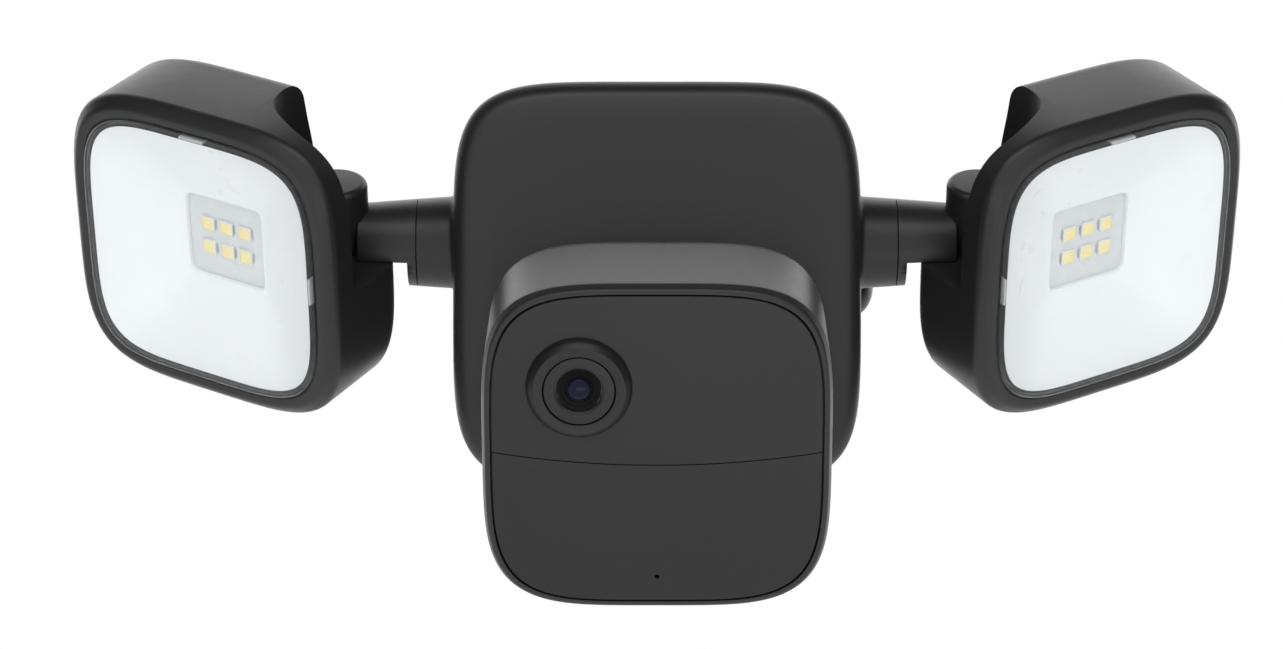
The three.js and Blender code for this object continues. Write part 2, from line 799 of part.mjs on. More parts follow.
function rearCoverScrew() {
  const seat = CAMERA.depth - 1;
  const { head, shaft, z } = COVER_SCREW;
  const profile = [
    [0, seat - 4.5],
    [shaft, seat - 4],
    [shaft, seat + 0.2],
    [head, seat + 0.2],
    [head, seat + 0.8],
    [0, seat + 1.2],
  ];
  return turned("y", profile, 12).translate(0, 0, z);
}

// Height of the line where the upper and the lower plate meet, sagging towards the middle.
const meetingLine = (x) => -2.8 + 2.5 * (x / CAMERA.plateHalf) ** 2;

function facePlate(upper) {
  const { plateHalf, roundness } = CAMERA;
  const whole = loft(squares([[plateHalf - 0.2, 0.2], [plateHalf, 0.5], [plateHalf, 2]], roundness));
  const shift = upper ? 0.1 : -0.1;
  const steps = 8;
  const line = Array.from({ length: steps + 1 }, (_, i) => {
    const x = -36 + (72 * i) / steps;
    return [x, meetingLine(x) + shift];
  });
  const far = upper ? 40 : -40;
  return common(whole, prismOnXZ([...line, [36, far], [-36, far]], -2, 4));
}

function upperFace() {
  const hole = rod("y", 8.7, -1, 3, 24).translate(CAMERA.lensX, 0, CAMERA.lensZ);
  return cut(facePlate(true), hole);
}

function lowerFace() {
  return cut(facePlate(false), rod("y", MICROPHONE.radius, -1, 3, 8).translate(0, 0, MICROPHONE.z));
}

function lensBezel() {
  const section = [[7.3, -2.1], [9.2, -2.5], [10.1, -1.7], [10.7, -0.1], [8.4, -0.1], [8.4, 3], [7.3, 3]];
  return turned("y", [...section, section[0]], 24);
}

function lensDisc() {
  const section = [[4.6, -1.6], [5, -2.1], [7, -2.1], [7, -1.1], [4.6, -1.1]];
  return turned("y", [...section, section[0]]);
}

function lensGlass() {
  return turned("y", [[0, -2], [2.2, -1.85], [4.3, -1.3], [4.3, -0.9], [0, -0.9]]);
}

function lensBarrel() {
  return turned("y", [[0, 0.2], [5, 0.2], [5, -0.6], [6.8, -0.6], [6.8, 15], [0, 15]]);
}

function cameraBoard() {
  const made = block([-26, 7.5, -24], [26, 9, 24]);
  return cut(made, rod("y", 7.2, 6, 10, 20).translate(CAMERA.lensX, 0, CAMERA.lensZ));
}

function cameraPieces() {
  const atLens = (mesh) => {
    mesh.position.set(CAMERA.lensX, 0, CAMERA.lensZ);
    return mesh;
  };
  const cells = [2.2, 17.6].map((x, i) => {
    const cell = piece(`aa_cell_${i + 1}`, aaCell(), cellJacket);
    cell.position.set(x, 17.2, -1);
    cell.rotation.x = i ? Math.PI : 0;
    return cell;
  });
  const unit = new THREE.Group();
  unit.add(
    piece("camera_frame", cameraFrame(), shell),
    piece("camera_gasket", cameraGasket(), rubber),
    piece("rear_cover", rearCover(), shell),
    piece("rear_cover_screw", rearCoverScrew(), steel),
    piece("upper_face", upperFace(), plate),
    piece("lower_face", lowerFace(), plate),
    atLens(piece("lens_bezel", lensBezel(), shell)),
    atLens(piece("lens_disc", lensDisc(), plate)),
    atLens(piece("lens_glass", lensGlass(), darkGlass)),
    atLens(piece("lens_barrel", lensBarrel(), nylon)),
    piece("camera_board", cameraBoard(), board),
    piece("infrared_led", rod("y", 2.5, 3, 7.2, 12).translate(14, 0, 14), darkGlass),
    piece("motion_sensor", rod("y", 4.6, 3, 7.2, 14).translate(0, 0, -14), steel),
    piece("speaker", rod("y", 8, 3, 7.2, 16).translate(17, 0, -15), nylon),
    ...cells,
    piece("ball_stem", ballStem(), plate),
  );
  unit.rotation.x = degrees(CAMERA.pitch);
  unit.position.set(...CAMERA.face);
  const joint = new THREE.Group();
  joint.add(
    piece("socket_collar", socketCollar(), shell),
    piece("socket_clamp", socketClamp(), nylon),
    piece("ball_liner", ballLiner(), nylon),
  );
  joint.position.copy(ballCentre());
  return [unit, joint];
}

// ---------------------------------------------------------------- the whole object

const object = new THREE.Group();
object.add(...housingPieces());
object.add(side("left", 1));
object.add(side("right", -1));
object.add(...cameraPieces());

export default object;
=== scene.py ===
# The looks of a floodlight security camera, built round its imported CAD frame.
# Shapes are in millimetres in the shared frame: origin mid back face, +Y into the wall, +Z up.

import json
import math

import bmesh
import bpy
from mathutils import Matrix, Vector


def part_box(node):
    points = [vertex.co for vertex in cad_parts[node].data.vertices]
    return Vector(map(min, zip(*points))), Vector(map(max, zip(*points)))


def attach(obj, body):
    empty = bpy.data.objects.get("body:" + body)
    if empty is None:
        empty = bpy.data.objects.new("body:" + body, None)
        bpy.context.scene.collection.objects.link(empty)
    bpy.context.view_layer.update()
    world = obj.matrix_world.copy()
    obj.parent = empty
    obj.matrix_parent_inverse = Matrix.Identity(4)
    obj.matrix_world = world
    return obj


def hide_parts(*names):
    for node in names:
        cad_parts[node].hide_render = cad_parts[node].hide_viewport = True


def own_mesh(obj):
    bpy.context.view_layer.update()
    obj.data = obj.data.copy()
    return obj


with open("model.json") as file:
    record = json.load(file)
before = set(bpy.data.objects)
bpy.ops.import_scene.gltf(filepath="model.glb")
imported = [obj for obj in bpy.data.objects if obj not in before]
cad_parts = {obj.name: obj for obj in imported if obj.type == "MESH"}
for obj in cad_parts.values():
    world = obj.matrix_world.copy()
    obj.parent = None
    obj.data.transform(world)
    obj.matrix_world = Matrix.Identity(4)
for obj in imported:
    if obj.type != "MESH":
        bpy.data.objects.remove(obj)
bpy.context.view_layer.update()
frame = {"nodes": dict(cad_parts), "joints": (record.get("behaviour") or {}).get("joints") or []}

MM = 0.001
AROUND = 128  # points round a rounded square
TURNS = 96  # points round a turned piece
WHOLE = 2 * math.pi
TIP = 0.01  # radius where a turned profile meets its axis
CORE = 2  # half-width of the flat cap that ends a loft
GAP = 0.3  # clearance between neighbouring pieces in the frame

# ---------------------------------------------------------------- sizes taken from the frame

JOINTS = {joint["name"]: joint for joint in frame["joints"]}
BALL = Vector(JOINTS["camera_pan"]["pos_m"]) / MM
STEM_AXIS = Vector(JOINTS["camera_roll"]["axis"])
PIVOT = Vector(JOINTS["left_lamp_turn"]["pos_m"]) / MM
KNUCKLE_AXIS = -Vector(JOINTS["left_lamp_turn"]["axis"])
CAMERA_PITCH = math.atan2(STEM_AXIS.z, STEM_AXIS.y)
ARM_TILT = math.atan2(-KNUCKLE_AXIS.y, KNUCKLE_AXIS.z)


def low(node):
    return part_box(node)[0] / MM


def high(node):
    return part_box(node)[1] / MM


FRONT = low("front_housing").y
REAR = high("front_housing").y
HALF = high("front_housing").z
COLLAR_END = high("front_housing").x
SEAM = 0.12  # half of the fine gap between two mouldings

# ---------------------------------------------------------------- driving dimensions, as in the frame

HOUSING = {"wide": HALF + 0.3, "roundness": 5.2, "wall": 2.6, "shelf": 4.7, "mouth": 13.5}
BRACKET = {
    "half": high("wall_bracket").x - 0.2,
    "depth": -low("wall_bracket").y,
    "screw": 24,
    "hole": 2.4,
    "head": 4.6,
}
ARM = {
    "root": 45.4,
    "root_radius": 10.15,
    "step": 54.5,
    "end": 65.4,
    "end_radius": 8.65,
    "bore": 6.4,
    "shaft": 5.7,
    "shoulder": 41.5,
    "thread": 4.4,
    "thread_end": 36,
}
BARREL = {"radius": 7.0, "height": 15.1, "pin": 2.55, "pin_depth": 9.6}
LAMP_YAW = math.radians(-30)
LAMP = {
    "half": 34.8,
    "depth": 28.0,
    "dome": 3.2,
    "roundness": 4.2,
    "lens_roundness": 4.6,
    "wall": 2.0,
    "lens": 29.8,
    "cap_wall": 0.55,
    "flange": 31.4,
    "rim": 1.5,
    "boss": 4.6,
    "pin": 2.5,
    "pivot": Vector((19.0, 26.7, -2.43)),
}
WINDOW = {"half_width": 10.05, "half_height": 9.85}
LED = {"size": 3.4, "phosphor": 2.9, "height": 0.7, "pitch_x": 4.9, "pitch_z": 5.8}
CAMERA = {
    "half": 35.0,
    "plate": 33.0,
    "depth": 34.3,
    "boss": 38.7,
    "roundness": 4.25,
    "lens": Vector((-15.4, 0, 13.8)),
    "ball": 54.0,
    "crown": 0.7,
    "meeting": -2.8,
    "sag": 2.5,
}
LENS = {
    "hole": 8.7,
    "seat": 8.4,
    "bezel": 10.7,
    "bore": 7.28,
    "disc": 7.05,
    "mouth": 4.55,
    "glass": 2.35,
}
MICROPHONE = {"z": -27.6, "radius": 0.42, "mouth": 0.7}
REAR_SCREW = {"z": -15.5, "head": 2.6, "recess": 2.9, "thread": 1, "hole": 1.3}
STEM = {"radius": 3.5, "foot": 6, "ball": 9.0, "hole": 3.9}
SOCKET = {"radius": 10.85, "neck": 13.1, "flange": 16.5, "liner": 9.35, "liner_outer": 10.5, "lip": 62}
BUTTON = {
    "y": -46.0,
    "radius": 6.7,
    "top": high("release_button").x,
    "hole": 7.0,
    "stem": 2.1,
    "flange": 8.2,
    "travel": 2.0,
    "wire": 0.32,
}

CAMERA_PLACE = (
    Matrix.Translation(BALL - CAMERA["ball"] * STEM_AXIS) @ Matrix.Rotation(CAMERA_PITCH, 4, "X")
)
BALL_PLACE = Matrix.Translation(BALL)
ARM_PLACE = Matrix.Translation(PIVOT) @ Matrix.Rotation(ARM_TILT, 4, "X")
LAMP_PLACE = ARM_PLACE @ Matrix.Rotation(LAMP_YAW, 4, "Z") @ Matrix.Translation(-LAMP["pivot"])
MIRROR = Matrix.Diagonal((-1, 1, 1, 1))

# ---------------------------------------------------------------- outlines and profiles


def filleted(corners, closed=False, steps=5):
    """Corners of (a, b) or (a, b, radius), with each radius swept as an arc."""
    count = len(corners)
    points = []
    for i, corner in enumerate(corners):
        here = Vector(corner[:2])
        at_end = not closed and i in (0, count - 1)
        if len(corner) < 3 or at_end:
            points.append(tuple(here))
            continue
        back = Vector(corners[i - 1][:2]) - here
        ahead = Vector(corners[(i + 1) % count][:2]) - here
        half_angle = back.angle(ahead) / 2
        reach = min(corner[2] / math.tan(half_angle), 0.49 * back.length, 0.49 * ahead.length)
        radius = reach * math.tan(half_angle)
        middle = (back.normalized() + ahead.normalized()).normalized()
        centre = here + middle * radius / math.sin(half_angle)
        start = here + back.normalized() * reach - centre
        sweep = math.copysign(math.pi - 2 * half_angle, start.y * back.x - start.x * back.y)
        for k in range(steps + 1):
            turn = sweep * k / steps
            x = start.x * math.cos(turn) - start.y * math.sin(turn)
            y = start.x * math.sin(turn) + start.y * math.cos(turn)
            points.append((centre.x + x, centre.y + y))
    return points


def arc(radius, first, last, steps):
    """Points (radius * sin, -radius * cos) from one angle to another, in degrees off -Y."""
    turns = [math.radians(first + (last - first) * k / steps) for k in range(steps + 1)]
    return [(radius * math.sin(turn), -radius * math.cos(turn)) for turn in turns]


def rounded_square(half_wide, half_high, y, roundness):
    """A superellipse in the XZ plane."""
    points = []
    for k in range(AROUND):
        c = math.cos(WHOLE * (k + 0.5) / AROUND)
        s = math.sin(WHOLE * (k + 0.5) / AROUND)
        x = math.copysign(abs(c) ** (2 / roundness), c)
        z = math.copysign(abs(s) ** (2 / roundness), s)
        points.append((half_wide * x, y, half_high * z))
    return points


def spline(knots, steps):
    """Points along a Catmull-Rom curve through the knots."""
    padded = [knots[0], *knots, knots[-1]]
    points = []
    spans = len(knots) - 1
    for k in range(steps + 1):
        span = min(int(k * spans / steps), spans - 1)
        t = k * spans / steps - span
        a, b, c, d = (Vector(p) for p in padded[span : span + 4])
        tangent_b, tangent_c = (c - a) / 2, (d - b) / 2
        point = (
            b * (2 * t**3 - 3 * t**2 + 1)
            + tangent_b * (t**3 - 2 * t**2 + t)
            + c * (3 * t**2 - 2 * t**3)
            + tangent_c * (t**3 - t**2)
        )
        points.append(tuple(point))
    return points


# ---------------------------------------------------------------- meshes


def new_object(name, mesh):
    made = bpy.data.objects.new(name, mesh)
    bpy.context.scene.collection.objects.link(made)
    return made


def tidied(mesh, sharp=35):
    """Merges doubled points, turns the faces outwards and marks edges sharper than an angle."""
    work = bmesh.new()
    work.from_mesh(mesh)
    bmesh.ops.remove_doubles(work, verts=work.verts, dist=0.002)
    bmesh.ops.dissolve_degenerate(work, edges=work.edges, dist=0.0005)
    bmesh.ops.recalc_face_normals(work, faces=work.faces)
    if work.calc_volume(signed=True) < 0:
        bmesh.ops.reverse_faces(work, faces=work.faces)
    for face in work.faces:
        face.smooth = True
    for edge in work.edges:
        edge.smooth = len(edge.link_faces) == 2 and edge.calc_face_angle(0) < math.radians(sharp)
    work.to_mesh(mesh)
    work.free()
    return mesh


def skin(name, rings, closed=False, sharp=35):
    """Joins rings of points into a closed surface. Open ends are capped."""
    count = len(rings[0])
    bands = len(rings) if closed else len(rings) - 1
    faces = []
    for r in range(bands):
        near, far = r * count, ((r + 1) % len(rings)) * count
        for k in range(count):
            after = (k + 1) % count
            faces.append((near + k, far + k, far + after, near + after))
    if not closed:
        faces.append(tuple(range(count)))
        last = (len(rings) - 1) * count
        faces.append(tuple(last + k for k in reversed(range(count))))
    mesh = bpy.data.meshes.new(name)
    mesh.from_pydata([point for ring in rings for point in ring], [], faces)
    return new_object(name, tidied(mesh, sharp))


def loft(name, profile, roundness, closed=False):
    """Skins rounded squares along a profile of (half, y)."""
    rings = [rounded_square(half, half, y, roundness) for half, y in profile]
    return skin(name, rings, closed)


def lathe(name, profile, axis="y", closed=False, count=TURNS, sharp=35):
    """Turns a profile of (radius, place) about an axis."""
    rings = []
    for radius, place in profile:
        ring = []
        for k in range(count):
            a = radius * math.cos(WHOLE * (k + 0.5) / count)
            b = radius * math.sin(WHOLE * (k + 0.5) / count)
            ring.append({"x": (place, a, b), "y": (a, place, b), "z": (a, b, place)}[axis])
        rings.append(ring)
    return skin(name, rings, closed, sharp)


def rod(axis, radius, first, last, at=(0, 0, 0), count=64):
    """A cylinder along an axis."""
    made = lathe("tool", [(radius, first), (radius, last)], axis, count=count)
    made.data.transform(Matrix.Translation(at))
    return made


def turned_tool(profile, place=(0, 0, 0)):
    """A turned cutter about a line along Y through a place."""
    made = lathe("tool", profile, "y")
    made.data.transform(Matrix.Translation(place))
    return made


def block(name, first, last, bevel=0.0):
    """A box between two corners, with rounded edges."""
    mesh = bpy.data.meshes.new(name)
    work = bmesh.new()
    bmesh.ops.create_cube(work, size=1)
    for vertex in work.verts:
        for i in range(3):
            vertex.co[i] = last[i] if vertex.co[i] > 0 else first[i]
    if bevel:
        bmesh.ops.bevel(work, geom=work.edges, offset=bevel, segments=3, profile=0.5, affect="EDGES")
    work.to_mesh(mesh)
    work.free()
    return new_object(name, tidied(mesh))


def prism(name, points, axis, first, last):
    """A prism over (a, b) points: along Z over (x, y), or along Y over (x, z)."""
    if axis == "z":
        rings = [[(a, b, place) for a, b in points] for place in (first, last)]
    else:
        rings = [[(a, place, b) for a, b in points] for place in (first, last)]
    return skin(name, rings)


def boolean(target, tool, operation="DIFFERENCE"):
    """Cuts target with tool, or joins or intersects them. The tool is used up."""
    modifier = target.modifiers.new("boolean", "BOOLEAN")
    modifier.operation = operation
    modifier.solver = "EXACT"
    modifier.object = tool
    depsgraph = bpy.context.evaluated_depsgraph_get()
    mesh = bpy.data.meshes.new_from_object(target.evaluated_get(depsgraph))
    target.modifiers.clear()
    old = target.data
    target.data = mesh
    bpy.data.meshes.remove(old)
    bpy.data.objects.remove(tool)
    tidied(mesh)
    return target


def cut(target, *tools):
    """Cuts each tool out of the target."""
    for tool in tools:
        boolean(target, tool)
    return target


def soften(piece, width):
    """Rounds the edges of a simple piece that are sharper than 50 degrees."""
    work = bmesh.new()
    work.from_mesh(piece.data)
    chosen = []
    for edge in work.edges:
        if len(edge.link_faces) == 2 and edge.calc_face_angle(0) > math.radians(50):
            chosen.append(edge)
    settings = {"segments": 3, "profile": 0.5, "affect": "EDGES", "clamp_overlap": True}
    bmesh.ops.bevel(work, geom=chosen, offset=width, **settings)
    work.to_mesh(piece.data)
    work.free()
    tidied(piece.data)


def joined(name, *parts):
    """One mesh that holds several separate solids."""
    work = bmesh.new()
    for part in parts:
        work.from_mesh(part.data)
        bpy.data.objects.remove(part)
    mesh = bpy.data.meshes.new(name)
    work.to_mesh(mesh)
    work.free()
    return new_object(name, mesh)


def put(piece, place, material, body, *replaced, slot=None):
    """Moves a shape from millimetres in its own frame to its place, and hands it to its body."""
    piece.data.transform(Matrix.Scale(MM, 4) @ place)
    if place.determinant() < 0:
        piece.data.flip_normals()
    piece.data.materials.clear()
    piece.data.materials.append(material)
    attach(piece, body)
    if replaced:
        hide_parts(*replaced)
    return piece


# ---------------------------------------------------------------- materials


class Nodes:
    """A short way to write a material's nodes."""

    def __init__(self, name):
        self.material = bpy.data.materials.new(name)
        self.material.use_nodes = True
        self.tree = self.material.node_tree
        self.shader = self.tree.nodes["Principled BSDF"]
        self.output = self.tree.nodes["Material Output"]
        self.place = self.add("ShaderNodeTexCoord").outputs["Object"]

    def add(self, kind, inputs=(), **settings):
        node = self.tree.nodes.new(kind)
        for key, value in settings.items():
            setattr(node, key, value)
        for key, value in dict(inputs).items():
            self.feed(node.inputs[key], value)
        return node

    def feed(self, socket, value):
        if isinstance(value, bpy.types.NodeSocket):
            self.tree.links.new(value, socket)
        else:
            socket.default_value = value

    def noise(self, scale, detail=2.0, roughness=0.5):
        settings = {"Vector": self.place, "Scale": scale, "Detail": detail, "Roughness": roughness}
        return self.add("ShaderNodeTexNoise", settings).outputs["Fac"]

    def cells(self, scale, feature="F1"):
        settings = {"Vector": self.place, "Scale": scale}
        return self.add("ShaderNodeTexVoronoi", settings, feature=feature).outputs["Distance"]

    def spread(self, value, low, high, first=0.3, last=0.7):
        """Maps a value from first..last to low..high."""
        settings = {"Value": value, "From Min": first, "From Max": last, "To Min": low, "To Max": high}
        return self.add("ShaderNodeMapRange", settings).outputs["Result"]

    def mix(self, factor, first, second, blend="MIX"):
        node = self.add("ShaderNodeMix", data_type="RGBA", blend_type=blend)
        self.feed(node.inputs["Factor"], factor)
        self.feed(node.inputs[6], first)
        self.feed(node.inputs[7], second)
        return node.outputs[2]

    def sums(self, first, second, share=1.0):
        node = self.add("ShaderNodeMath", operation="MULTIPLY_ADD")
        self.feed(node.inputs[0], second)
        self.feed(node.inputs[1], share)
        self.feed(node.inputs[2], first)
        return node.outputs[0]

    def bump(self, height, distance, strength=1.0):
        settings = {"Height": height, "Distance": distance, "Strength": strength}
        self.feed(self.shader.inputs["Normal"], self.add("ShaderNodeBump", settings).outputs["Normal"])

    def edges(self):
        """Near 1 on convex edges, 0 elsewhere."""
        point = self.add("ShaderNodeNewGeometry").outputs["Pointiness"]
        return self.spread(point, 0.0, 1.0, 0.53, 0.60)

    def set(self, **values):
        for key, value in values.items():
            self.feed(self.shader.inputs[key.replace("_", " ")], value)


def grey(level, tint=0.0):
    """A colour of one linear level, slightly cooler where tint is above 0."""
    return (level * (1 - tint), level, level * (1 + tint), 1)


def moulded(name, level, roughness, grain=0.012, wear=1.35, ior=1.42):
    """Moulded plastic with a spark-eroded grain, faint flow marks and edges rubbed lighter."""
    n = Nodes(name)
    cloud = n.noise(45, 3)
    flow = n.mix(n.spread(cloud, 0, 1), grey(level * 0.975), grey(level * 1.025))
    fleck = n.spread(n.noise(2600, 1), 0, 1, 0.35, 0.75)
    specked = n.mix(fleck, flow, grey(level * 1.18))
    n.set(Base_Color=n.mix(n.edges(), specked, grey(level * wear)))
    polish = n.spread(n.noise(420, 3), roughness - 0.012, roughness + 0.015)
    n.set(Roughness=polish, IOR=ior)
    height = n.sums(n.cells(1700), n.noise(3800, 2), 0.6)
    n.bump(height, grain * MM, 0.8)
    return n.material


def rubber(name):
    n = Nodes(name)
    n.set(Base_Color=n.mix(n.spread(n.noise(90, 3), 0, 1), grey(0.010), grey(0.016)))
    n.set(Roughness=n.spread(n.noise(400, 3), 0.72, 0.88))
    n.bump(n.noise(1500, 3), 0.02 * MM)
    return n.material


def metal(name, level, roughness, grain=(900, 900, 60)):
    """Drawn or plated metal with a brushed direction."""
    n = Nodes(name)
    mapped = n.add("ShaderNodeMapping", {"Vector": n.place, "Scale": grain}).outputs["Vector"]
    settings = {"Vector": mapped, "Scale": 1.0, "Detail": 4.0}
    streak = n.add("ShaderNodeTexNoise", settings).outputs["Fac"]
    shade = n.mix(n.spread(streak, 0, 1), grey(level * 0.85), grey(level * 1.05))
    n.set(Base_Color=shade, Metallic=1.0)
    n.set(Roughness=n.spread(streak, roughness - 0.07, roughness + 0.1))
    n.bump(streak, 0.01 * MM)
    return n.material


def solder_mask(name, colour, light):
    """A board's lacquer over copper tracks."""
    n = Nodes(name)
    tracks = n.spread(n.cells(260, "DISTANCE_TO_EDGE"), 1, 0, 0.02, 0.06)
    n.set(Base_Color=n.mix(tracks, (*colour, 1), (*light, 1)))
    n.set(Roughness=n.spread(n.noise(200, 3), 0.28, 0.42))
    n.bump(tracks, 0.03 * MM)
    return n.material


def cell_jacket():
    """A dark shrink sleeve with a coppery band at one end."""
    n = Nodes("cell_jacket")
    height = n.add("ShaderNodeSeparateXYZ", {"Vector": n.place}).outputs["Z"]
    band = n.spread(height, 0, 1, 0.0140, 0.0142)
    n.set(Base_Color=n.mix(band, (0.02, 0.022, 0.026, 1), (0.35, 0.16, 0.06, 1)))
    n.set(Metallic=0.35, Roughness=n.spread(n.noise(160, 3), 0.25, 0.38))
    n.bump(n.noise(60, 2), 0.05 * MM)
    return n.material


def white_plastic(name, level, roughness):
    """Smooth white moulding, faintly mottled."""
    n = Nodes(name)
    mottle = n.spread(n.noise(50, 3), 0, 1)
    n.set(Base_Color=n.mix(mottle, grey(level * 0.985, 0.004), grey(level, 0.004)))
    n.set(Roughness=n.spread(n.noise(220, 3), roughness - 0.05, roughness + 0.05))
    n.bump(n.noise(1400, 2), 0.006 * MM)
    return n.material


def nylon():
    n = Nodes("nylon")
    mottle = n.spread(n.noise(80, 3), 0, 1)
    n.set(Base_Color=n.mix(mottle, (0.50, 0.48, 0.43, 1), (0.58, 0.56, 0.50, 1)))
    n.set(Roughness=n.spread(n.noise(300, 3), 0.4, 0.55), Subsurface_Weight=0.1)
    n.bump(n.noise(900, 2), 0.01 * MM)
    return n.material


def phosphor():
    """The pale yellow face of a white LED: fine phosphor grains in silicone."""
    n = Nodes("led_phosphor")
    grains = n.spread(n.noise(5200, 2), 0, 1)
    n.set(Base_Color=n.mix(grains, (0.90, 0.74, 0.33, 1), (0.98, 0.86, 0.46, 1)))
    n.set(Roughness=n.spread(n.noise(800, 2), 0.3, 0.5))
    n.bump(grains, 0.02 * MM)
    return n.material


def clear_cap():
    """Clear polycarbonate that lets light through and mirrors at a shallow angle."""
    n = Nodes("clear_polycarbonate")
    clear = n.add("ShaderNodeBsdfTransparent", {"Color": (0.97, 0.98, 0.985, 1)})
    haze = n.spread(n.noise(60, 4), 0.03, 0.09)
    ripple = n.add("ShaderNodeBump", {"Height": n.noise(35, 2), "Distance": 0.02 * MM})
    n.feed(n.shader.inputs["Base Color"], (0.75, 0.76, 0.77, 1))
    n.feed(n.shader.inputs["Normal"], ripple.outputs["Normal"])
    n.set(Roughness=haze, IOR=1.58)
    facing = n.add("ShaderNodeLayerWeight", {"Blend": 0.5}).outputs["Facing"]
    grazing = n.add("ShaderNodeMath", operation="POWER")
    n.feed(grazing.inputs[0], facing)
    n.feed(grazing.inputs[1], 4.0)
    share = n.spread(grazing.outputs[0], 0.035, 0.9, 0.0, 1.0)
    both = n.add("ShaderNodeMixShader", {"Fac": share})
    n.tree.links.new(clear.outputs["BSDF"], both.inputs[1])
    n.tree.links.new(n.shader.outputs["BSDF"], both.inputs[2])
    n.tree.links.new(both.outputs["Shader"], n.output.inputs["Surface"])
    return n.material


def coated_glass():
    """A camera lens: near black, with the blue-violet bloom of its coating."""
    n = Nodes("coated_lens_glass")
    facing = n.add("ShaderNodeLayerWeight", {"Blend": 0.35}).outputs["Facing"]
    n.set(Base_Color=n.mix(facing, (0.004, 0.004, 0.010, 1), (0.012, 0.010, 0.030, 1)))
    n.set(Roughness=n.spread(n.noise(200, 2), 0.10, 0.14), IOR=1.28)
    n.shader.inputs["Specular Tint"].default_value = (0.62, 0.68, 1.0, 1)
    return n.material


MATERIALS = {
    "shell": moulded("moulded_shell", 0.0105, 0.40),
    "face": moulded("moulded_face", 0.0078, 0.38, grain=0.008, ior=1.37),
    # Near black for the bands round each lamp's cap: painted shade standing in for the gap between cap
    # and rim.
    "shadow": moulded("painted_shade_plastic", 0.006, 0.55, grain=0.01),
    "tab": moulded("moulded_tab", 0.42, 0.5, grain=0.006, wear=1.1),
    "rubber": rubber("seal_rubber"),
    "steel": metal("plated_steel", 0.55, 0.3),
    "aluminium": metal("extruded_aluminium", 0.6, 0.35, grain=(60, 900, 900)),
    "jacket": cell_jacket(),
    "board": solder_mask("green_board", (0.012, 0.09, 0.045), (0.03, 0.16, 0.08)),
    "white_board": solder_mask("white_board", (0.70, 0.715, 0.71), (0.735, 0.75, 0.745)),
    "reflector": white_plastic("reflector_white", 0.90, 0.32),
    "led_case": white_plastic("led_case", 0.80, 0.4),
    "nylon": nylon(),
    "phosphor": phosphor(),
    "clear": clear_cap(),
    "glass": coated_glass(),
    "black": moulded("lens_black", 0.0015, 0.35, grain=0.001, ior=1.16),
}

SIDES = ("left", "right")
CARRIED = {
    "jacket": [*(f"d_cell_{k}" for k in (1, 2, 3, 4)), "aa_cell_1", "aa_cell_2"],
    "rubber": ["door_gasket", "camera_gasket"],
    "steel": ["contact_plate_top", "contact_plate_bottom", "motion_sensor"],
    "shell": ["battery_door"],
    "board": ["driver_board", "camera_board"],
    "nylon": ["socket_clamp", "lens_barrel", "speaker"],
    "glass": ["infrared_led"],
    "aluminium": [f"{side}_heat_sink" for side in SIDES],
}
CARRIED["rubber"] += [f"{side}_{part}" for side in SIDES for part in ("arm_seal", "lens_gasket")]
CARRIED["steel"] += [f"door_screw_{k}" for k in (1, 2, 3, 4)]
CARRIED["steel"] += [f"{side}_{part}" for side in SIDES for part in ("arm_nut", "pivot_pin")]


def repaint_carried():
    """Gives the CAD nodes that stay in the picture their materials."""
    for key, nodes in CARRIED.items():
        for node in nodes:
            mesh = frame["nodes"][node].data
            mesh.materials.clear()
            mesh.materials.append(MATERIALS[key])


# ---------------------------------------------------------------- housing and bracket


def arm_radius(x):
    """The collar and the arm are one cone, from the housing to the knuckle."""
    taper = (ARM["root_radius"] - ARM["end_radius"]) / (ARM["end"] - ARM["root"])
    return ARM["root_radius"] - taper * (x - ARM["root"])


def housing():
    """The hollow square body, with a collar at each side for the arm and a hole for the button."""
    wall = HOUSING["wall"]
    inner = HALF - wall
    shelf = REAR - HOUSING["shelf"]
    profile = filleted(
        [
            (HALF - 14, FRONT),
            (HALF - 7.0, FRONT, 30),
            (HALF - 2.0, FRONT + 0.9, 5),
            (HALF, FRONT + 3.6, 4),
            (HALF, REAR, 0.8),
            (inner + 0.4, REAR, 0.4),
            (inner + 0.4, shelf + 3),
            (inner, shelf + 3),
            (inner, shelf),
            (inner - 2.2, shelf),
            (inner - 2.2, shelf - 3),
            (inner, shelf - 6),
            (inner, FRONT + 5, 4),
            (inner - 3, FRONT + wall),
        ],
        steps=8,
    )
    stretch = HOUSING["wide"] / HALF
    rings = [rounded_square(half * stretch, half, y, HOUSING["roundness"]) for half, y in profile]
    for y in (FRONT + wall, FRONT):
        hole = rounded_square(HOUSING["mouth"], HOUSING["mouth"], y, 2)
        rings.append([(BALL.x + x, place, BALL.z + z) for x, place, z in hole])
    shell = skin("housing_shell", rings, closed=True)
    for side in (-1, 1):
        foot = side * (HOUSING["wide"] - 1.2)
        blend = side * HOUSING["wide"]
        root = ARM["root_radius"]
        collar = filleted(
            [
                (TIP, foot),
                (root + 4, foot),
                (root + 4, blend - side * 0.05),
                (root + 0.05, blend + side * 0.02, 1.7),
                (arm_radius(COLLAR_END), side * (COLLAR_END + SEAM), 0.12),
                (TIP, side * (COLLAR_END + SEAM)),
            ],
            steps=8,
        )
        shape = lathe("collar", collar, "x")
        shape.data.transform(Matrix.Translation((0, PIVOT.y, PIVOT.z)))
        boolean(shell, shape, "UNION")
        bore = rod("x", ARM["bore"], side * 38, side * 56, (0, PIVOT.y, PIVOT.z))
        cut(shell, bore)
    cut(shell, rod("x", BUTTON["hole"], HALF - 5, HALF + 3, (0, BUTTON["y"], 0)))
    put(shell, Matrix(), MATERIALS["shell"], "mount", "front_housing", slot="dark_housing")


